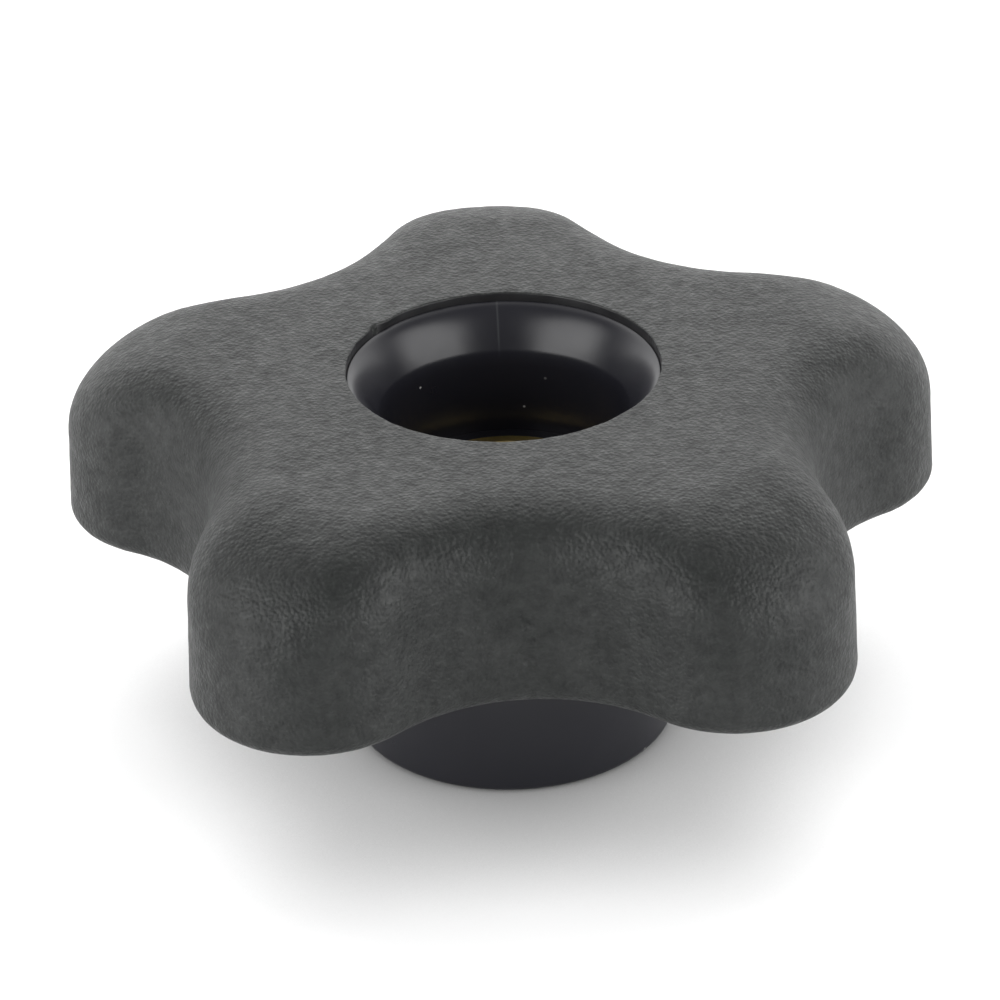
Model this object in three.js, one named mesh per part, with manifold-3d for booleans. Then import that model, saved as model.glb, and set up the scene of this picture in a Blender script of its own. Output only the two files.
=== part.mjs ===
// A five-lobed clamping nut (star knob): a lobed grip is moulded over a hub core, and the hub
// core holds a threaded brass insert. A stud goes right through along the axis.
// Sizes are millimetres. +Z points out of the recess. Heights below are measured from the seat
// face, the underside of the boss, and the group is then lowered so that its centroid is at zero.
import * as THREE from 'three';
import { mergeVertices } from 'three/addons/utils/BufferGeometryUtils.js';
import Module from 'manifold-3d';

// Whole nut
const lobeCount = 5;
const tipRadius = 25;           // axis to the tip of a lobe
const bossHeight = 11;          // seat face to the grip's underside
const gripHeight = 10.6;        // grip's underside to its top face, near the axis
const centroidHeight = 14.45;   // seat face to the centroid of the three solids
const moldGap = 0.3;            // clearance kept between neighbouring pieces

// Grip outline: lobe arcs joined by valley arcs that are tangent to them
const lobeRadius = 6.7;
const valleyRadius = 10;
const wallDraft = THREE.MathUtils.degToRad(2);
const roundingHeight = 4.6;     // the broad rounding between the wall and the top
const roundingWidth = 4.9;
const roundness = 2.8;          // 2 is an ellipse; more is squarer
const bottomFillet = 1.25;
const crownStart = 17.5;        // the top is flat inside this radius
const crownDrop = 0.265;        // share of the height lost at a lobe's tip
const crownPower = 1.7;
const undersideDrop = 0.55;     // how far the underside hangs at a lobe's tip

// Recess and boss of the hub core
const bossRadius = 9;
const bossEdge = 0.4;           // rounding at the seat face
const rimRadius = 8.5;          // hole in the top of the grip
const rimDepth = 0.5;           // top face down to the hub core's top edge
const flangeRadius = 10.2;
const flangeThickness = 1.8;
const flangeDepth = 1.6;        // top face down to the flange
const funnelDepth = 2.85;       // top face down to the end of the funnel
const funnelCorner = 7.8;       // radius at which the gentle shoulder would meet the steep funnel
const cornerDepth = 0.66;       // top face down to that meeting point
const boreRadius = 6.8;         // straight part of the recess, under the funnel
const recessDepth = 7.72;       // top face down to the recess floor
const keyLength = 4;            // keys that stand out of the hub core into the lobes
const keyWidth = 3.2;
const keyHeight = 4.5;
const keyBase = 12.7;           // seat face to the keys' lower face

// Threaded insert for an M10 stud
const insertRadius = 6;
const threadMinorRadius = 4.25;
const threadChamfer = 0.8;
const knurlDepth = 0.35;
const knurlTeeth = 30;
const grooveDepth = 0.8;
const grooveWidth = 1.6;
const insertEdge = 0.4;

// How finely round shapes are divided
const lobeSteps = 10;
const valleySteps = 7;
const filletSteps = 4;
const roundingSteps = 7;
const funnelSteps = 6;
const topRings = 4;
const turnSteps = knurlTeeth * 2;

const topHeight = bossHeight + gripHeight;
const insertTop = topHeight - recessDepth;
const grooveHeights = [insertTop / 3, (2 * insertTop) / 3];

const wasm = await Module();
wasm.setup();

// ---- helpers ----

function vertexOnly(geometry) {
  geometry.deleteAttribute('normal');
  geometry.deleteAttribute('uv');
  return mergeVertices(geometry, 1e-5);
}

function toSolid(geometry) {
  const merged = vertexOnly(geometry);
  const vertProperties = new Float32Array(merged.attributes.position.array);
  const triVerts = new Uint32Array(merged.index.array);
  return new wasm.Manifold(new wasm.Mesh({ numProp: 3, vertProperties, triVerts }));
}

function toGeometry(solid) {
  const { vertProperties, triVerts } = solid.getMesh();
  const geometry = new THREE.BufferGeometry();
  geometry.setAttribute('position', new THREE.BufferAttribute(vertProperties, 3));
  geometry.setIndex(new THREE.BufferAttribute(triVerts, 1));
  geometry.computeVertexNormals();
  return geometry;
}

// A closed profile of [radius, height] points turned about +Z.
function turned(profile) {
  const points = [...profile, profile[0]].map(([radius, height]) => new THREE.Vector2(radius, height));
  return new THREE.LatheGeometry(points, turnSteps).rotateX(Math.PI / 2);
}

// Points on an arc about [x, y], from one angle to the other.
function arc(x, y, radius, from, to, steps) {
  const points = [];
  for (let i = 0; i <= steps; i += 1) {
    const angle = from + ((to - from) * i) / steps;
    points.push([x + radius * Math.cos(angle), y + radius * Math.sin(angle)]);
  }
  return points;
}

// ---- lobed grip ----

// Stations round the grip's outline. Each has a centre that its arc turns about, a direction from
// that centre, and a sign: an inset shrinks a lobe's arc and widens a valley's.
function outlineStations() {
  const half = Math.PI / lobeCount;
  const lobeCentre = tipRadius - lobeRadius;
  const reach = lobeRadius + valleyRadius;
  const valleyCentre = lobeCentre * Math.cos(half)
    + Math.sqrt(reach ** 2 - (lobeCentre * Math.sin(half)) ** 2);
  const tangent = Math.atan2(
    valleyCentre * Math.sin(half),
    valleyCentre * Math.cos(half) - lobeCentre,
  );
  const valleySweep = 2 * (half - tangent);
  const stations = [];
  for (let lobe = 0; lobe < lobeCount; lobe += 1) {
    const turn = Math.PI / 2 + lobe * 2 * half;
    for (let i = 0; i < lobeSteps; i += 1) {
      const angle = turn - tangent + (2 * tangent * i) / lobeSteps;
      stations.push({ distance: lobeCentre, turn, angle, radius: lobeRadius, sign: -1 });
    }
    for (let i = 0; i < valleySteps; i += 1) {
      const angle = turn + tangent + Math.PI + (valleySweep * i) / valleySteps;
      stations.push({ distance: valleyCentre, turn: turn + half, angle, radius: valleyRadius, sign: 1 });
    }
  }
  return stations;
}

function outlinePoint(station, inset) {
  const radius = station.radius + station.sign * inset;
  return new THREE.Vector2(
    station.distance * Math.cos(station.turn) + radius * Math.cos(station.angle),
    station.distance * Math.sin(station.turn) + radius * Math.sin(station.angle),
  );
}

// Height of a grip point above the seat face: the top and the underside both drop near the tips.
function domedHeight(radius, height) {
  const over = Math.max(radius - crownStart, 0) / (tipRadius - crownStart);
  const drop = undersideDrop * (radius / tipRadius) ** 2 * (1 - height / gripHeight);
  return bossHeight + height * (1 - crownDrop * over ** crownPower) - drop;
}

// The drafted outer wall, its lower fillet and its broad upper rounding (a superellipse), as
// [inset, height above the underside].
function wallProfile() {
  const roundingBase = gripHeight - roundingHeight;
  const draftInset = (roundingBase - bottomFillet) * Math.tan(wallDraft);
  const lower = arc(bottomFillet, bottomFillet, bottomFillet, -Math.PI / 2, -Math.PI, filletSteps);
  const upper = [];
  for (let i = 0; i <= roundingSteps; i += 1) {
    const angle = (Math.PI / 2) * (i / roundingSteps);
    const across = 1 - Math.cos(angle) ** (2 / roundness);
    const up = Math.sin(angle) ** (2 / roundness);
    upper.push([draftInset + roundingWidth * across, roundingBase + roundingHeight * up]);
  }
  return [...lower, ...upper];
}

// The hub core's outer shape, widened by the gap: this is the inside of the grip, from the top down.
function socketProfile() {
  const flangeTop = gripHeight - flangeDepth + moldGap;
  const flangeBase = flangeTop - flangeThickness - 2 * moldGap;
  const neck = bossRadius + moldGap;
  const flange = flangeRadius + moldGap;
  return [[rimRadius, gripHeight], [rimRadius, flangeTop], [flange, flangeTop],
    [flange, flangeBase], [neck, flangeBase], [neck, 0]];
}

function gripLoop(station, wall, socket) {
  const loop = wall.map(([inset, height]) => {
    const point = outlinePoint(station, inset);
    return [point.x, point.y, domedHeight(point.length(), height)];
  });
  const shoulder = outlinePoint(station, wall.at(-1)[0]);
  const bearing = shoulder.angle();
  for (let ring = 1; ring < topRings; ring += 1) {
    const point = shoulder.clone().setLength(
      THREE.MathUtils.lerp(shoulder.length(), rimRadius, ring / topRings),
    );
    loop.push([point.x, point.y, domedHeight(point.length(), gripHeight)]);
  }
  for (const [radius, height] of socket) {
    loop.push([radius * Math.cos(bearing), radius * Math.sin(bearing), bossHeight + height]);
  }
  return loop;
}

function gripBody() {
  const wall = wallProfile();
  const socket = socketProfile();
  const loops = outlineStations().map((station) => gripLoop(station, wall, socket));
  const rows = loops[0].length;
  const index = [];
  loops.forEach((loop, i) => {
    const next = (i + 1) % loops.length;
    loop.forEach((_, j) => {
      const a = i * rows + j;
      const b = next * rows + j;
      const c = next * rows + ((j + 1) % rows);
      const d = i * rows + ((j + 1) % rows);
      index.push(a, b, c, a, c, d);
    });
  });
  const geometry = new THREE.BufferGeometry();
  geometry.setAttribute('position', new THREE.Float32BufferAttribute(loops.flat(2), 3));
  geometry.setIndex(index);
  return geometry;
}

// ---- hub core ----

// One key of the hub core, or with a margin the pocket that it leaves in the grip.
function keyBlock(lobe, margin) {
  const inner = bossRadius - 1;
  const outer = bossRadius + keyLength + margin;
  const block = new THREE.BoxGeometry(outer - inner, keyWidth + 2 * margin, keyHeight + 2 * margin);
  block.translate((inner + outer) / 2, 0, keyBase + keyHeight / 2);
  return toSolid(block.rotateZ(Math.PI / 2 + (lobe * 2 * Math.PI) / lobeCount));
}

function hubProfile() {
  const landOuter = rimRadius - moldGap;
  const flangeTop = topHeight - flangeDepth;
  const pocket = insertRadius + moldGap;
  const ridge = insertRadius - grooveDepth + moldGap;
  const ridgeHalf = grooveWidth / 2 - moldGap;
  const outside = [
    ...arc(bossRadius - bossEdge, bossEdge, bossEdge, -Math.PI / 2, 0, 3),
    [bossRadius, flangeTop - flangeThickness],
    [flangeRadius, flangeTop - flangeThickness],
    [flangeRadius, flangeTop],
    [landOuter, flangeTop],
  ];
  const inside = [
    ...funnelCurve(landOuter),
    [boreRadius, insertTop],
    [pocket, insertTop],
  ];
  for (const height of [...grooveHeights].reverse()) {
    inside.push([pocket, height + ridgeHalf], [ridge, height + ridgeHalf]);
    inside.push([ridge, height - ridgeHalf], [pocket, height - ridgeHalf]);
  }
  inside.push([pocket, 0]);
  return [...outside, ...inside];
}

// The rounded shoulder that runs into the funnel: level at the rim and steep where it meets the bore.
function funnelCurve(landOuter) {
  const rimHeight = topHeight - rimDepth;
  const curve = new THREE.QuadraticBezierCurve(
    new THREE.Vector2(landOuter, rimHeight),
    new THREE.Vector2(funnelCorner, topHeight - cornerDepth),
    new THREE.Vector2(boreRadius, topHeight - funnelDepth),
  );
  return curve.getPoints(funnelSteps).map((point) => [point.x, point.y]);
}

// ---- threaded insert ----

function insertProfile() {
  const bottom = [
    [threadMinorRadius, insertTop - threadChamfer],
    [threadMinorRadius, threadChamfer],
    [threadMinorRadius + threadChamfer, 0],
    [insertRadius - insertEdge, 0],
    [insertRadius, insertEdge],
  ];
  const groove = grooveHeights.flatMap((height) => [
    [insertRadius, height - grooveWidth / 2],
    [insertRadius - grooveDepth, height - grooveWidth / 2],
    [insertRadius - grooveDepth, height + grooveWidth / 2],
    [insertRadius, height + grooveWidth / 2],
  ]);
  const top = [
    [insertRadius, insertTop - insertEdge],
    [insertRadius - insertEdge, insertTop],
    [threadMinorRadius + threadChamfer, insertTop],
  ];
  return [...bottom, ...groove, ...top];
}

// Cuts straight teeth into the insert's outside, by drawing in every other line of points.
function knurl(geometry) {
  const position = geometry.attributes.position;
  const toothStep = (2 * Math.PI) / turnSteps;
  for (let i = 0; i < position.count; i += 1) {
    const radius = Math.hypot(position.getX(i), position.getY(i));
    const line = Math.round(Math.atan2(position.getY(i), position.getX(i)) / toothStep);
    if (radius > insertRadius - 0.01 && line % 2 !== 0) {
      const shrink = (insertRadius - knurlDepth) / radius;
      position.setXY(i, position.getX(i) * shrink, position.getY(i) * shrink);
    }
  }
  return geometry;
}

// ---- assembly ----

const lobes = [...Array(lobeCount).keys()];

function lobedGrip() {
  return lobes.reduce((body, lobe) => body.subtract(keyBlock(lobe, moldGap)), toSolid(gripBody()));
}

function hubCore() {
  return lobes.reduce((body, lobe) => body.add(keyBlock(lobe, 0)), toSolid(turned(hubProfile())));
}

function threadedInsert() {
  return toSolid(knurl(turned(insertProfile())));
}

function piece(name, solid, look) {
  const mesh = new THREE.Mesh(toGeometry(solid), new THREE.MeshStandardMaterial(look));
  mesh.name = name;
  mesh.position.z = -centroidHeight;
  return mesh;
}

const nut = new THREE.Group();
nut.add(piece('lobed_grip', lobedGrip(), { color: 0x4a4c4a, roughness: 0.75, metalness: 0 }));
nut.add(piece('hub_core', hubCore(), { color: 0x1c1c20, roughness: 0.3, metalness: 0 }));
nut.add(piece('threaded_insert', threadedInsert(), { color: 0xa88a45, roughness: 0.35, metalness: 1 }));

export default nut;
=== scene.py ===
"""A five-lobed clamping nut on a pale floor: grained grip, smooth hub core and threaded brass insert."""
import math

import bpy
from mathutils import Matrix, Vector, noise


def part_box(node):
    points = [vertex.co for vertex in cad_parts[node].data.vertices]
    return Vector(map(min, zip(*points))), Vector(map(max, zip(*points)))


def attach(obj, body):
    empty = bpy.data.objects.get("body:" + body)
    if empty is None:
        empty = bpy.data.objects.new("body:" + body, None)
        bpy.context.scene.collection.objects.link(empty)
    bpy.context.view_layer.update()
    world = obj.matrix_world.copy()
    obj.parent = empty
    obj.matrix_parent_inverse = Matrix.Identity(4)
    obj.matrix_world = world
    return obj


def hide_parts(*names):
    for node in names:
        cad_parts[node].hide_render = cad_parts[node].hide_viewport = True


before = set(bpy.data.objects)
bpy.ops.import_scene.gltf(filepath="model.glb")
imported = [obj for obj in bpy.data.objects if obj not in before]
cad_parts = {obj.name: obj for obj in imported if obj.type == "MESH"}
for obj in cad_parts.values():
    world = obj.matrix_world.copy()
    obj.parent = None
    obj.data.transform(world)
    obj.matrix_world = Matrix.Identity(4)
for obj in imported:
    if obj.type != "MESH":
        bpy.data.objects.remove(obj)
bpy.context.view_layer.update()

MM = 0.001
TAU = 2 * math.pi

# ---- places and sizes from the frame, in millimetres ----

grip_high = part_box("lobed_grip")[1]
hub_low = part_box("hub_core")[0]
insert_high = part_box("threaded_insert")[1]
SEAT = hub_low.z / MM
BOSS_HEIGHT = 11.0                   # the boss stands this far out of the grip
UNDERSIDE = SEAT + BOSS_HEIGHT
TOP = grip_high.z / MM
INSERT_TOP = insert_high.z / MM
TIP_RADIUS = grip_high.y / MM
INSERT_RADIUS = insert_high.x / MM
GRIP_HEIGHT = TOP - UNDERSIDE

# Grip outline and profile, as in the CAD model
LOBES = 5
LOBE_RADIUS = 6.7
VALLEY_RADIUS = 10.0
WALL_DRAFT = math.radians(2.0)
ROUNDING_HEIGHT = 4.6
ROUNDING_WIDTH = 4.9
ROUNDNESS = 2.8
BOTTOM_FILLET = 1.25
CROWN_START = 17.5
CROWN_DROP = 0.265
CROWN_POWER = 1.7
UNDERSIDE_DROP = 0.55

# Small unevenness of the moulded grip
RIPPLE = 0.012                       # how far the skin wanders
RIPPLE_SCALES = [(0.9, 1.0), (2.1, 0.6)]    # waves per millimetre, and share
RIM_MARGIN = 0.3                     # the skin is left alone this close to the hole
EDGE_SCALES = [(9, 2.0, 0.05), (40, 5.0, 0.02)]     # the hole's edge: waves, seed and depth
NICK_BEARING = math.radians(142)     # a nick in the hole's edge, with a burr beside it
NICK_WIDTH = 0.05
NICK_DEPTH = 0.22
BURR_OFFSET = 2.2                    # nick widths from the nick to the burr
BURR_SHARE = 0.5
PITS = [(0.1, 4.7), (0.35, 3.7), (0.2, 2.6)]    # sideways, and up from the underside
PIT_REACH = 17.5                     # from the axis to the bottom of a valley
PIT_FLOOR = 0.1
PIT_RADIUS = 0.38

# Recess: the funnel runs from the shoulder's edge, bends at the corner and ends at the bore
RIM_RADIUS = 8.5
RIM_DEPTH = 0.5
RIM_EDGE = 0.1
SHOULDER_RADIUS = 8.42
FUNNEL_CORNER = 7.8
CORNER_DEPTH = 0.66
BORE_RADIUS = 6.8
FUNNEL_DEPTH = 2.85

# Hub core
BOSS_RADIUS = 9.0
BOSS_EDGE = 0.4
FLANGE_RADIUS = 10.2
FLANGE_THICKNESS = 1.8
FLANGE_DEPTH = 1.6
KEY_LENGTH = 4.0
KEY_WIDTH = 3.2
KEY_HEIGHT = 4.5
KEY_BASE = 12.7
LAND_DROP = 0.03                     # the shoulder starts this far under the rim's depth
LOWER_EDGE = 0.15                    # chamfer of the grip round the boss
FIT_GAP = 0.02                       # left between neighbouring pieces
WELD_SIDE = 0.08                     # the weld line on the funnel's far side: its place in x
WELD_CORE = 0.02
WELD_WIDTH = 0.08

# Threaded insert
THREAD_MINOR = 4.19
THREAD_MAJOR = 5.0
THREAD_PITCH = 1.5
THREAD_ROOT = 0.125                  # share of the pitch that is flat root
THREAD_FLANK = 0.625                 # share taken by the flanks
THREAD_COUNTERSINK = 0.15
KNURL_DEPTH = 0.35
KNURL_TEETH = 30
GROOVE_DEPTH = 0.8
GROOVE_WIDTH = 1.6
INSERT_EDGE = 0.25
INSERT_PROUD = 0.17                  # above the recess floor


# ---- mesh helpers ----

def mesh_object(name, points, faces):
    """A mesh object from points in millimetres."""
    mesh = bpy.data.meshes.new(name)
    mesh.from_pydata([Vector(p) * MM for p in points], [], faces)
    mesh.update()
    obj = bpy.data.objects.new(name, mesh)
    bpy.context.scene.collection.objects.link(obj)
    return obj


def smooth(obj, sharp_degrees=32):
    """Shades a piece smooth except along its sharp edges."""
    for polygon in obj.data.polygons:
        polygon.use_smooth = True
    obj.data.set_sharp_from_angle(angle=math.radians(sharp_degrees))


def loops_to_mesh(name, loops):
    """A closed body from closed loops of points, each joined to the next and the last to the first."""
    rows = len(loops[0])
    points = [p for loop in loops for p in loop]
    faces = []
    for i in range(len(loops)):
        near, far = i * rows, (i + 1) % len(loops) * rows
        for j in range(rows):
            k = (j + 1) % rows
            faces.append((near + j, far + j, far + k, near + k))
    return mesh_object(name, points, faces)


def arc(x, y, radius, start, end, steps):
    """Points on an arc about (x, y), from one angle to the other."""
    turns = [start + (end - start) * i / steps for i in range(steps + 1)]
    return [(x + radius * math.cos(a), y + radius * math.sin(a)) for a in turns]


def line(start, end, steps):
    """Points along a straight line, without its last point."""
    return [tuple(a + (b - a) * i / steps for a, b in zip(start, end)) for i in range(steps)]


def turned(name, profile, steps):
    """A closed profile of (radius, height) points turned about the axis."""
    loops = []
    for i in range(steps):
        c, s = math.cos(TAU * i / steps), math.sin(TAU * i / steps)
        loops.append([(r * c, r * s, z) for r, z in profile])
    return loops_to_mesh(name, loops)


def combine(obj, tool, operation):
    """Cuts or joins a tool with a boolean, and drops the tool."""
    modifier = obj.modifiers.new(operation, "BOOLEAN")
    modifier.operation = operation
    modifier.object = tool
    modifier.solver = "EXACT"
    bpy.context.view_layer.update()
    depsgraph = bpy.context.evaluated_depsgraph_get()
    result = bpy.data.meshes.new_from_object(obj.evaluated_get(depsgraph))
    obj.modifiers.clear()
    old = obj.data
    obj.data = result
    bpy.data.meshes.remove(old)
    bpy.data.objects.remove(tool)


# ---- lobed grip ----

LOBE_STEPS = 56
VALLEY_STEPS = 44
FILLET_STEPS = 10
ROUNDING_STEPS = 24
WALL_STEPS = 12
TOP_RINGS = 26
UNDERSIDE_RINGS = 10


def outline_stations():
    """Stations round the outline: (distance, turn) of an arc's centre, the direction, radius and sign."""
    half = math.pi / LOBES
    lobe_centre = TIP_RADIUS - LOBE_RADIUS
    reach = LOBE_RADIUS + VALLEY_RADIUS
    valley_centre = lobe_centre * math.cos(half)
    valley_centre += math.sqrt(reach ** 2 - (lobe_centre * math.sin(half)) ** 2)
    tangent = math.atan2(
        valley_centre * math.sin(half), valley_centre * math.cos(half) - lobe_centre
    )
    stations = []
    for lobe in range(LOBES):
        turn = math.pi / 2 + lobe * 2 * half
        for i in range(LOBE_STEPS):
            angle = turn - tangent + 2 * tangent * i / LOBE_STEPS
            stations.append((lobe_centre, turn, angle, LOBE_RADIUS, -1))
        for i in range(VALLEY_STEPS):
            angle = turn + tangent + math.pi + 2 * (half - tangent) * i / VALLEY_STEPS
            stations.append((valley_centre, turn + half, angle, VALLEY_RADIUS, 1))
    return stations


def outline_point(station, inset):
    """The outline's point at one station, moved inwards by the inset."""
    distance, turn, angle, radius, sign = station
    radius += sign * inset
    return Vector((
        distance * math.cos(turn) + radius * math.cos(angle),
        distance * math.sin(turn) + radius * math.sin(angle),
    ))


def domed(radius, height):
    """Height of a grip point: the top and the underside both drop towards the tips."""
    over = max(radius - CROWN_START, 0) / (TIP_RADIUS - CROWN_START)
    drop = UNDERSIDE_DROP * (radius / TIP_RADIUS) ** 2 * (1 - height / GRIP_HEIGHT)
    return UNDERSIDE + height * (1 - CROWN_DROP * over ** CROWN_POWER) - drop


def wall_profile():
    """The drafted wall with its lower fillet and its broad upper rounding, as (inset, height)."""
    rounding_base = GRIP_HEIGHT - ROUNDING_HEIGHT
    draft_inset = (rounding_base - BOTTOM_FILLET) * math.tan(WALL_DRAFT)
    lower = arc(BOTTOM_FILLET, BOTTOM_FILLET, BOTTOM_FILLET, -math.pi / 2, -math.pi, FILLET_STEPS)
    upper = []
    for i in range(ROUNDING_STEPS + 1):
        a = math.pi / 2 * i / ROUNDING_STEPS
        across = 1 - math.cos(a) ** (2 / ROUNDNESS)
        up = math.sin(a) ** (2 / ROUNDNESS)
        upper.append((draft_inset + ROUNDING_WIDTH * across, rounding_base + ROUNDING_HEIGHT * up))
    return lower + line(lower[-1], upper[0], WALL_STEPS)[1:] + upper


def dip(offset):
    """A smooth dip, 1 at the middle and nearly nothing two nick widths away."""
    return math.exp(-(offset / NICK_WIDTH) ** 2)


def rim_edge(bearing):
    """How far the moulded edge of the hole wanders inwards round the rim."""
    c, s = math.cos(bearing), math.sin(bearing)
    wander = 0
    for waves, seed, depth in EDGE_SCALES:
        wander += depth * noise.noise(Vector((c * waves, s * waves, seed)))
    nick = NICK_DEPTH * dip(bearing - NICK_BEARING)
    burr = BURR_SHARE * NICK_DEPTH * dip(bearing - NICK_BEARING + BURR_OFFSET * NICK_WIDTH)
    return wander - nick + burr


def grip_loop(station, wall):
    """Section of the grip at one station: wall, top, hole and underside."""
    loop = []
    for inset, height in wall:
        p = outline_point(station, inset)
        loop.append((p.x, p.y, domed(p.length, height)))
    shoulder = outline_point(station, wall[-1][0])
    bearing = math.atan2(shoulder.y, shoulder.x)
    c, s = math.cos(bearing), math.sin(bearing)
    rim = RIM_RADIUS - rim_edge(bearing)
    for ring in range(1, TOP_RINGS + 1):
        r = shoulder.length + (rim + RIM_EDGE - shoulder.length) * ring / TOP_RINGS
        loop.append((r * c, r * s, domed(r, GRIP_HEIGHT)))
    flange_top = GRIP_HEIGHT - FLANGE_DEPTH + FIT_GAP
    flange_base = flange_top - FLANGE_THICKNESS - 2 * FIT_GAP
    neck = BOSS_RADIUS + FIT_GAP
    flange = FLANGE_RADIUS + FIT_GAP
    inner = arc(rim + RIM_EDGE, GRIP_HEIGHT - RIM_EDGE, RIM_EDGE, math.pi / 2, math.pi, 4)[1:]
    inner += [(RIM_RADIUS, GRIP_HEIGHT - RIM_DEPTH), (RIM_RADIUS, flange_top), (flange, flange_top)]
    inner += [(flange, flange_base), (neck, flange_base), (neck, LOWER_EDGE), (neck + LOWER_EDGE, 0)]
    loop += [(r * c, r * s, UNDERSIDE + z) for r, z in inner]
    edge = outline_point(station, wall[0][0])
    bearing = math.atan2(edge.y, edge.x)
    for ring in range(1, UNDERSIDE_RINGS):
        r = neck + LOWER_EDGE + (edge.length - neck - LOWER_EDGE) * ring / UNDERSIDE_RINGS
        loop.append((r * math.cos(bearing), r * math.sin(bearing), domed(r, 0)))
    return loop


def key_block(lobe, margin):
    """One key of the hub core, or with a margin its pocket in the grip."""
    inner, outer = BOSS_RADIUS - 1, BOSS_RADIUS + KEY_LENGTH + margin
    half = KEY_WIDTH / 2 + margin
    low, high = SEAT + KEY_BASE - margin, SEAT + KEY_BASE + KEY_HEIGHT + margin
    turn = math.pi / 2 + lobe * TAU / LOBES
    along = Vector((math.cos(turn), math.sin(turn), 0))
    side = Vector((-along.y, along.x, 0))
    corners = [(inner, -half), (outer, -half), (outer, half), (inner, half)]
    points = [along * a + side * b + Vector((0, 0, z)) for z in (low, high) for a, b in corners]
    faces = [(3, 2, 1, 0), (4, 5, 6, 7), (0, 1, 5, 4), (1, 2, 6, 5), (2, 3, 7, 6), (3, 0, 4, 7)]
    return mesh_object("key_block", points, faces)


def grip_skin():
    """The grip with the core's pockets in it, its surface faintly uneven."""
    wall = wall_profile()
    skin = loops_to_mesh("grip_skin", [grip_loop(station, wall) for station in outline_stations()])
    for lobe in range(LOBES):
        combine(skin, key_block(lobe, FIT_GAP), "DIFFERENCE")
    ripple(skin)
    smooth(skin)
    polish_hole(skin)
    return skin


def ripple(skin):
    """The faint unevenness of a moulded surface."""
    normals = [vertex.normal.copy() for vertex in skin.data.vertices]
    for vertex, normal in zip(skin.data.vertices, normals):
        place = vertex.co / MM
        if place.xy.length > RIM_RADIUS + RIM_MARGIN:
            height = sum(share * noise.noise(place * waves) for waves, share in RIPPLE_SCALES)
            vertex.co += normal * (RIPPLE * height * MM)


def polish_hole(skin):
    """Gives the hole's upright wall, above the flange, the second material."""
    for polygon in skin.data.polygons:
        upright = polygon.normal.z < 0.3 and polygon.center.z > (TOP - FLANGE_DEPTH) * MM
        if upright and polygon.center.xy.length < (RIM_RADIUS + RIM_EDGE) * MM:
            polygon.material_index = 1


# ---- hub core ----

HUB_STEPS = 240
SHOULDER_STEPS = 22


def funnel():
    """The rounded shoulder that runs into the funnel: nearly level at the rim and steep at the bore."""
    points = []
    top, middle, base = TOP - RIM_DEPTH, TOP - CORNER_DEPTH, TOP - FUNNEL_DEPTH
    for i in range(SHOULDER_STEPS + 1):
        t = i / SHOULDER_STEPS
        start, corner, end = (1 - t) ** 2, 2 * t * (1 - t), t ** 2
        r = start * SHOULDER_RADIUS + corner * FUNNEL_CORNER + end * BORE_RADIUS
        points.append((r, start * top + corner * middle + end * base))
    return points


def hub_profile():
    """Cross section of the hub core, from the seat face round the outside and down the inside."""
    flange_top = TOP - FLANGE_DEPTH
    flange_base = flange_top - FLANGE_THICKNESS
    land = RIM_RADIUS - FIT_GAP
    outside = arc(BOSS_RADIUS - BOSS_EDGE, SEAT + BOSS_EDGE, BOSS_EDGE, -math.pi / 2, 0, 8)
    outside += line(outside[-1], (BOSS_RADIUS, flange_base), 8)[1:]
    outside += [(BOSS_RADIUS, flange_base), (FLANGE_RADIUS, flange_base)]
    outside += [(FLANGE_RADIUS, flange_top), (land, flange_top), (land, TOP - RIM_DEPTH - LAND_DROP)]
    pocket = INSERT_RADIUS + FIT_GAP
    inside = funnel() + line((BORE_RADIUS, TOP - FUNNEL_DEPTH), (BORE_RADIUS, INSERT_TOP), 6)[1:]
    inside += [(BORE_RADIUS, INSERT_TOP), (pocket, INSERT_TOP)]
    ridge = INSERT_RADIUS - GROOVE_DEPTH + FIT_GAP
    half = GROOVE_WIDTH / 2 - FIT_GAP
    for height in reversed(groove_heights()):
        inside += [(pocket, height + half), (ridge, height + half)]
        inside += [(ridge, height - half), (pocket, height - half)]
    inside.append((pocket, SEAT))
    return outside + inside


def groove_heights():
    """Middles of the insert's two grooves."""
    length = INSERT_TOP - SEAT
    return [SEAT + length / 3, SEAT + 2 * length / 3]


def hub_body():
    """The boss, the recess's lining and the flange in one, with its keys."""
    body = turned("hub_body", hub_profile(), HUB_STEPS)
    for lobe in range(LOBES):
        combine(body, key_block(lobe, 0), "UNION")
    smooth(body)
    return body


# ---- threaded insert ----

INSERT_FACE = INSERT_TOP + INSERT_PROUD
INSERT_STEPS = 180
ROWS_PER_TURN = 16


def thread_radius(turns, height):
    """Radius of the helical thread: a flat crest and root joined by straight flanks."""
    phase = (height / THREAD_PITCH - turns) % 1.0
    flank = min(max((abs(phase - 0.5) * 2 - THREAD_ROOT) / THREAD_FLANK, 0), 1)
    radius = THREAD_MAJOR + (THREAD_MINOR - THREAD_MAJOR) * flank
    ends = min(INSERT_FACE - height, height - SEAT)
    return max(radius, THREAD_MAJOR + THREAD_COUNTERSINK - ends)


def insert_outside(turns):
    """The knurled outside with its two grooves, from the seat face up."""
    tooth = abs((turns * KNURL_TEETH) % 1.0 - 0.5) * 2
    knurled = INSERT_RADIUS - KNURL_DEPTH * tooth
    groove = INSERT_RADIUS - GROOVE_DEPTH
    smooth_end = INSERT_RADIUS - INSERT_EDGE
    points = [(smooth_end, SEAT), (min(knurled, INSERT_RADIUS), SEAT + INSERT_EDGE)]
    for height in groove_heights():
        for z, r in ((-1, knurled), (-1, groove), (1, groove), (1, knurled)):
            points.append((r, height + z * GROOVE_WIDTH / 2))
    return points + [(knurled, INSERT_FACE - INSERT_EDGE), (smooth_end, INSERT_FACE)]


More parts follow.
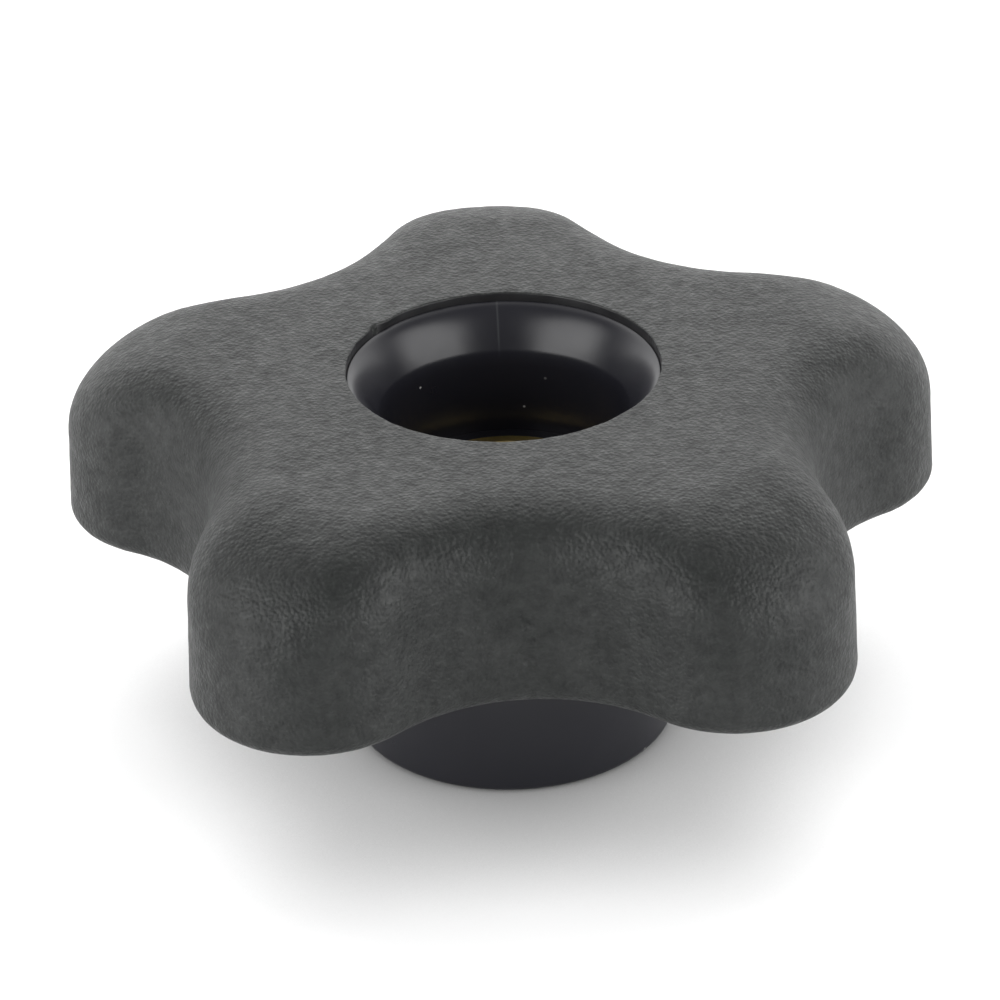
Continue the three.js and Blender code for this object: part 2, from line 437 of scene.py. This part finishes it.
def insert_body():
    """The brass insert with its helical thread, knurl and grooves."""
    rows = int((INSERT_FACE - SEAT) / THREAD_PITCH * ROWS_PER_TURN)
    loops = []
    heights = [SEAT + (INSERT_FACE - SEAT) * j / rows for j in range(rows + 1)]
    for i in range(INSERT_STEPS):
        turns = i / INSERT_STEPS
        profile = [(thread_radius(turns, z), z) for z in heights]
        profile = profile[::-1] + insert_outside(turns)
        c, s = math.cos(TAU * turns), math.sin(TAU * turns)
        loops.append([(r * c, r * s, z) for r, z in profile])
    body = loops_to_mesh("insert_body", loops)
    smooth(body, 25)
    return body


# ---- materials ----

# Texture scales are in cells per metre, bump heights in millimetres
GRIP_IOR = 1.42
MOTTLE_SCALE = 1500.0
MOTTLE_BUMP = 0.08
PEBBLE_SCALE = 4600.0
PEBBLE_BUMP = -0.055
PIT_BUMP = 0.12
BLOOM_SCALE = 330.0
GRIP_DARK = (0.0015, 0.0022, 0.0021)
GRIP_LIGHT = (0.012, 0.0138, 0.0128)
CORE_IOR = 1.4
CORE_COLOR = (0.01, 0.01, 0.0135)
CORE_BUMP = 0.008
WELD_COLOR = (0.026, 0.027, 0.03)
DUST_COLOR = (0.55, 0.55, 0.53)
DUST_SCALE = 700.0
SHUT_OFF_COLOR = (0.012, 0.012, 0.013)
SHUT_OFF_BUMP = 0.01
BRASS_CLEAN = (0.75, 0.58, 0.22)
BRASS_DULL = (0.5, 0.36, 0.12)
# darker brass colour given to the thread
BRASS_THREAD_DARK = (0.09, 0.06, 0.03)
THREAD_DARK_START = 0.02                     # the thread's darker colour fades out between these two,
THREAD_DARK_END = 0.22                       # measured outwards from the thread's root
RING_SCALE = 2600.0
RING_BUMP = 0.006


def new_material(name, color, roughness, metallic=0.0):
    """A material with its node tree's parts and its Principled shader."""
    material = bpy.data.materials.new(name)
    material.use_nodes = True
    nodes, links = material.node_tree.nodes, material.node_tree.links
    shader = nodes["Principled BSDF"]
    shader.inputs["Base Color"].default_value = (*color, 1)
    shader.inputs["Roughness"].default_value = roughness
    shader.inputs["Metallic"].default_value = metallic
    return material, nodes, links, shader


def noise_texture(nodes, links, scale, detail, roughness=0.5):
    """Solid noise in the object's own space; scale is in cells per metre."""
    coords = nodes.new("ShaderNodeTexCoord")
    texture = nodes.new("ShaderNodeTexNoise")
    texture.inputs["Scale"].default_value = scale
    texture.inputs["Detail"].default_value = detail
    texture.inputs["Roughness"].default_value = roughness
    links.new(coords.outputs["Object"], texture.inputs["Vector"])
    return texture


def remapped(nodes, links, source, start, end, low, high):
    """Maps a value from start..end to low..high."""
    remap = nodes.new("ShaderNodeMapRange")
    remap.inputs["From Min"].default_value = start
    remap.inputs["From Max"].default_value = end
    remap.inputs["To Min"].default_value = low
    remap.inputs["To Max"].default_value = high
    links.new(source, remap.inputs["Value"])
    return remap.outputs["Result"]


def spread(nodes, links, source, low, high):
    """Maps the middle of a noise to a range."""
    return remapped(nodes, links, source, 0.3, 0.7, low, high)


def times(nodes, links, source_a, source_b):
    """The product of two values."""
    product = nodes.new("ShaderNodeMath")
    product.operation = "MULTIPLY"
    links.new(source_a, product.inputs[0])
    links.new(source_b, product.inputs[1])
    return product.outputs["Value"]


def tinted(nodes, links, factor, under, color):
    """Puts a constant colour over a colour output where the factor is high."""
    mix = nodes.new("ShaderNodeMix")
    mix.data_type = "RGBA"
    mix.inputs["B"].default_value = (*color, 1)
    links.new(factor, mix.inputs["Factor"])
    links.new(under, mix.inputs["A"])
    return mix.outputs["Result"]


def blend_colors(nodes, links, factor, color_a, color_b):
    """Runs from one constant colour to another as the factor goes from 0 to 1."""
    mix = nodes.new("ShaderNodeMix")
    mix.data_type = "RGBA"
    mix.inputs["A"].default_value = (*color_a, 1)
    mix.inputs["B"].default_value = (*color_b, 1)
    links.new(factor, mix.inputs["Factor"])
    return mix.outputs["Result"]


def bump(nodes, links, height, depth, under=None):
    """A bumped normal, over another one where there is one; depth is in millimetres."""
    made = nodes.new("ShaderNodeBump")
    made.inputs["Strength"].default_value = 1.0
    made.inputs["Distance"].default_value = depth * MM
    links.new(height, made.inputs["Height"])
    if under:
        links.new(under, made.inputs["Normal"])
    return made.outputs["Normal"]


def pebbles(nodes, links, scale):
    """Rounded grains: high in the middle of each cell."""
    coords = nodes.new("ShaderNodeTexCoord")
    cells = nodes.new("ShaderNodeTexVoronoi")
    cells.feature = "SMOOTH_F1"
    cells.inputs["Scale"].default_value = scale
    cells.inputs["Smoothness"].default_value = 0.6
    links.new(coords.outputs["Object"], cells.inputs["Vector"])
    return cells.outputs["Distance"]


def pits(nodes, links):
    """Height of the small pits low in the valley that faces the front: 0 in a pit, 1 elsewhere."""
    coords = nodes.new("ShaderNodeTexCoord")
    height = None
    for side, level in PITS:
        away = nodes.new("ShaderNodeVectorMath")
        away.operation = "DISTANCE"
        away.inputs[1].default_value = Vector((side, -PIT_REACH, UNDERSIDE + level)) * MM
        links.new(coords.outputs["Object"], away.inputs[0])
        ring = remapped(nodes, links, away.outputs["Value"], PIT_FLOOR * MM, PIT_RADIUS * MM, 0.0, 1.0)
        height = times(nodes, links, height, ring) if height else ring
    return height


def grip_material():
    """Spark-eroded black polyamide: rounded fine grains, a faint waviness and a dusty bloom."""
    material, nodes, links, shader = new_material("grip_polymer", GRIP_LIGHT, 0.5)
    shader.inputs["IOR"].default_value = GRIP_IOR
    mottle = noise_texture(nodes, links, MOTTLE_SCALE, 5.0, 0.75)
    normal = bump(nodes, links, mottle.outputs["Fac"], MOTTLE_BUMP)
    normal = bump(nodes, links, pebbles(nodes, links, PEBBLE_SCALE), PEBBLE_BUMP, normal)
    normal = bump(nodes, links, pits(nodes, links), PIT_BUMP, normal)
    links.new(normal, shader.inputs["Normal"])
    links.new(spread(nodes, links, mottle.outputs["Fac"], 0.62, 0.42), shader.inputs["Roughness"])
    bloom = noise_texture(nodes, links, BLOOM_SCALE, 4.0, 0.6)
    links.new(spread(nodes, links, bloom.outputs["Fac"], 0.37, 0.53), shader.inputs["Specular IOR Level"])
    shade = spread(nodes, links, mottle.outputs["Fac"], 0.0, 1.0)
    color = blend_colors(nodes, links, shade, GRIP_DARK, GRIP_LIGHT)
    links.new(color, shader.inputs["Base Color"])
    return material


def shut_off_material():
    """The hole's edge in the grip, formed by the mould's polished core pin."""
    material, nodes, links, shader = new_material("grip_shut_off", SHUT_OFF_COLOR, 0.3)
    cloud = noise_texture(nodes, links, 900.0, 3.0)
    links.new(spread(nodes, links, cloud.outputs["Fac"], 0.28, 0.42), shader.inputs["Roughness"])
    links.new(bump(nodes, links, cloud.outputs["Fac"], SHUT_OFF_BUMP), shader.inputs["Normal"])
    return material


def dust(nodes, links):
    """Sparse small specks: one cell in four holds a dot, some fainter than others."""
    coords = nodes.new("ShaderNodeTexCoord")
    cells = nodes.new("ShaderNodeTexVoronoi")
    cells.inputs["Scale"].default_value = DUST_SCALE
    links.new(coords.outputs["Object"], cells.inputs["Vector"])
    dot = remapped(nodes, links, cells.outputs["Distance"], 0.04, 0.075, 1.0, 0.0)
    pick = nodes.new("ShaderNodeSeparateColor")
    links.new(cells.outputs["Color"], pick.inputs["Color"])
    kept = remapped(nodes, links, pick.outputs["Red"], 0.75, 1.0, 0.0, 1.0)
    return times(nodes, links, dot, kept)


def weld_line(nodes, links):
    """The faint line down the far side of the funnel where the melt fronts met."""
    coords = nodes.new("ShaderNodeTexCoord")
    parts = nodes.new("ShaderNodeSeparateXYZ")
    links.new(coords.outputs["Object"], parts.inputs["Vector"])
    offset = nodes.new("ShaderNodeMath")
    offset.operation = "SUBTRACT"
    offset.inputs[1].default_value = WELD_SIDE * MM
    links.new(parts.outputs["X"], offset.inputs[0])
    near = nodes.new("ShaderNodeMath")
    near.operation = "ABSOLUTE"
    links.new(offset.outputs["Value"], near.inputs[0])
    thin = remapped(nodes, links, near.outputs["Value"], WELD_CORE * MM, WELD_WIDTH * MM, 1.0, 0.0)
    far = remapped(nodes, links, parts.outputs["Y"], 0.0, 1.0 * MM, 0.0, 1.0)
    base = (TOP - FUNNEL_DEPTH) * MM
    high = remapped(nodes, links, parts.outputs["Z"], base - 0.4 * MM, base + 0.8 * MM, 0.0, 1.0)
    return times(nodes, links, times(nodes, links, thin, far), high)


def core_material():
    """Smooth blue-black polymer with soft gloss, a weld line and a few dust specks."""
    material, nodes, links, shader = new_material("core_polymer", CORE_COLOR, 0.3)
    shader.inputs["IOR"].default_value = CORE_IOR
    cloud = noise_texture(nodes, links, 600.0, 3.0)
    gloss = remapped(nodes, links, cloud.outputs["Fac"], 0.0, 1.0, 0.24, 0.38)
    links.new(gloss, shader.inputs["Roughness"])
    welded = blend_colors(nodes, links, weld_line(nodes, links), CORE_COLOR, WELD_COLOR)
    dusty = tinted(nodes, links, dust(nodes, links), welded, DUST_COLOR)
    links.new(dusty, shader.inputs["Base Color"])
    links.new(bump(nodes, links, cloud.outputs["Fac"], CORE_BUMP), shader.inputs["Normal"])
    return material


def thread_darkening(nodes, links):
    """1 in the thread, 0 on the insert's ends and outside."""
    coords = nodes.new("ShaderNodeTexCoord")
    flat = nodes.new("ShaderNodeVectorMath")
    flat.operation = "MULTIPLY"
    flat.inputs[1].default_value = (1, 1, 0)
    links.new(coords.outputs["Object"], flat.inputs[0])
    distance = nodes.new("ShaderNodeVectorMath")
    distance.operation = "LENGTH"
    links.new(flat.outputs["Vector"], distance.inputs[0])
    start, end = (THREAD_MAJOR + THREAD_DARK_START) * MM, (THREAD_MAJOR + THREAD_DARK_END) * MM
    return remapped(nodes, links, distance.outputs["Value"], start, end, 1.0, 0.0)


def brass_material():
    """Turned brass, slightly tarnished, with fine rings from the tool and a darker colour in the thread.
    """
    material, nodes, links, shader = new_material("insert_brass", BRASS_CLEAN, 0.34, 1.0)
    tarnish = noise_texture(nodes, links, 900.0, 4.0)
    factor = spread(nodes, links, tarnish.outputs["Fac"], 0.0, 1.0)
    color = blend_colors(nodes, links, factor, BRASS_CLEAN, BRASS_DULL)
    # the thread is given a darker brass colour
    thread_darkened = tinted(nodes, links, thread_darkening(nodes, links), color, BRASS_THREAD_DARK)
    links.new(thread_darkened, shader.inputs["Base Color"])
    links.new(spread(nodes, links, tarnish.outputs["Fac"], 0.28, 0.42), shader.inputs["Roughness"])
    coords = nodes.new("ShaderNodeTexCoord")
    rings = nodes.new("ShaderNodeTexWave")
    rings.wave_type = "RINGS"
    rings.rings_direction = "Z"
    rings.inputs["Scale"].default_value = RING_SCALE
    rings.inputs["Distortion"].default_value = 1.5
    links.new(coords.outputs["Object"], rings.inputs["Vector"])
    links.new(bump(nodes, links, rings.outputs["Fac"], RING_BUMP), shader.inputs["Normal"])
    return material


# ---- assemble ----

def dress(obj, material, node_name):
    """Gives a piece its material and its place in the frame."""
    obj.data.materials.append(material)
    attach(obj, "root")
    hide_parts(node_name)


grip = grip_skin()
dress(grip, grip_material(), "lobed_grip")
grip.data.materials.append(shut_off_material())
dress(hub_body(), core_material(), "hub_core")
dress(insert_body(), brass_material(), "threaded_insert")


# ---- stage ----

FLOOR_SIZE = 4.0
FLOOR_DROP = 0.05                    # under the seat face
FLOOR_WHITE = (0.97, 0.97, 0.97)
# colour of the painted shadow on the floor close under the nut
FLOOR_PAINTED_SHADOW = (0.34, 0.34, 0.34)
PAINTED_SHADOW_REACH = 12.5                 # how near the nut the floor's painted contact shadow starts
PAINTED_SHADOW_RANGE = (0.25, 0.9)          # ambient occlusion from the darkest painted shadow to white floor
BACKDROP = 2.35                      # strength of the backdrop, and of everything else
FILL = 0.25
BACKDROP_ELEVATION = -15.0
BACKDROP_EDGE = 0.5                  # cosine from the backdrop's middle where it is full

CAMERA_AZIMUTH = -2.37
CAMERA_ELEVATION = 30.07
CAMERA_ROLL = math.radians(-1.684)
CAMERA_DISTANCE = 262.5              # from the middle of the grip's underside
SENSOR_WIDTH = 36.0
LENS = 171.9756                      # focal length
AIM_SIDE = 0.0017354                 # tangents of the turn away from that middle
AIM_UP = 0.0073120


def direction(azimuth, elevation):
    """Unit vector from the object towards an azimuth and elevation; azimuth 0 is the front."""
    a, e = math.radians(azimuth), math.radians(elevation)
    return Vector((math.sin(a) * math.cos(e), -math.cos(a) * math.cos(e), math.sin(e)))


def studio_floor():
    """White paper with a painted contact shadow that darkens it a little more where the nut stands close
    over it.
    """
    bpy.ops.mesh.primitive_plane_add(size=FLOOR_SIZE, location=(0, 0, (SEAT - FLOOR_DROP) * MM))
    floor = bpy.context.object
    floor.name = "studio_floor"
    material, nodes, links, shader = new_material("studio_floor", FLOOR_WHITE, 0.9)
    # Painted contact shadow: ambient occlusion runs the floor's own colour towards the shadow colour near
    # the nut.
    nearby = nodes.new("ShaderNodeAmbientOcclusion")
    nearby.samples = 8
    nearby.inputs["Distance"].default_value = PAINTED_SHADOW_REACH * MM
    openness = remapped(nodes, links, nearby.outputs["AO"], *PAINTED_SHADOW_RANGE, 0.0, 1.0)
    color = blend_colors(nodes, links, openness, FLOOR_PAINTED_SHADOW, FLOOR_WHITE)
    links.new(color, shader.inputs["Base Color"])
    floor.data.materials.append(material)


def studio_world():
    """A dim studio with a white backdrop behind the object."""
    world = bpy.data.worlds.new("studio")
    world.use_nodes = True
    nodes, links = world.node_tree.nodes, world.node_tree.links
    nodes["Background"].inputs["Color"].default_value = (1, 1, 1, 1)
    coords = nodes.new("ShaderNodeTexCoord")
    facing = nodes.new("ShaderNodeVectorMath")
    facing.operation = "DOT_PRODUCT"
    facing.inputs[1].default_value = direction(CAMERA_AZIMUTH + 180, BACKDROP_ELEVATION)
    links.new(coords.outputs["Generated"], facing.inputs[0])
    level = nodes.new("ShaderNodeMapRange")
    level.interpolation_type = "SMOOTHSTEP"
    level.inputs["From Min"].default_value = 0.0
    level.inputs["From Max"].default_value = BACKDROP_EDGE
    level.inputs["To Min"].default_value = FILL
    level.inputs["To Max"].default_value = BACKDROP
    links.new(facing.outputs["Value"], level.inputs["Value"])
    links.new(level.outputs["Result"], nodes["Background"].inputs["Strength"])
    bpy.context.scene.world = world


def area_light(name, azimuth, elevation, distance, size_x, size_y, power):
    """A soft panel that faces the nut; sizes and distance are metres, power is watts."""
    data = bpy.data.lights.new(name, "AREA")
    data.shape = "RECTANGLE"
    data.size, data.size_y, data.energy = size_x, size_y, power
    light = bpy.data.objects.new(name, data)
    back = direction(azimuth, elevation)
    light.location = back * distance
    light.rotation_euler = (-back).to_track_quat("-Z", "Y").to_euler()
    light.visible_camera = False
    bpy.context.scene.collection.objects.link(light)


def studio_lights():
    """Two softboxes at the front corners and one large weak panel overhead."""
    area_light("left_softbox", -60, 20, distance=0.6, size_x=0.6, size_y=0.44, power=4.2)
    area_light("right_softbox", 60, 20, distance=0.6, size_x=0.6, size_y=0.44, power=4.0)
    area_light("top_softbox", 180, 70, distance=0.7, size_x=0.9, size_y=0.7, power=1.9)


def camera():
    """The camera, turned so that the nut stands a little off the middle of the frame."""
    data = bpy.data.cameras.new("camera")
    data.sensor_width = SENSOR_WIDTH
    data.lens = LENS
    data.clip_start, data.clip_end = 0.01, 10
    cam = bpy.data.objects.new("camera", data)
    bpy.context.scene.collection.objects.link(cam)
    back = direction(CAMERA_AZIMUTH, CAMERA_ELEVATION)
    right = Vector((-back.y, back.x, 0)).normalized()
    up = back.cross(right)
    c, s = math.cos(CAMERA_ROLL), math.sin(CAMERA_ROLL)
    right, up = right * c + up * s, up * c - right * s
    place = Vector((0, 0, UNDERSIDE * MM)) + back * CAMERA_DISTANCE * MM
    aim = -back - right * AIM_SIDE + up * AIM_UP
    back = -aim.normalized()
    right = (right - back * right.dot(back)).normalized()
    up = back.cross(right)
    cam.matrix_world = Matrix((
        (right.x, up.x, back.x, place.x),
        (right.y, up.y, back.y, place.y),
        (right.z, up.z, back.z, place.z),
        (0, 0, 0, 1),
    ))
    bpy.context.scene.camera = cam


studio_floor()
studio_world()
studio_lights()
camera()
bpy.context.scene.view_settings.view_transform = "Standard"
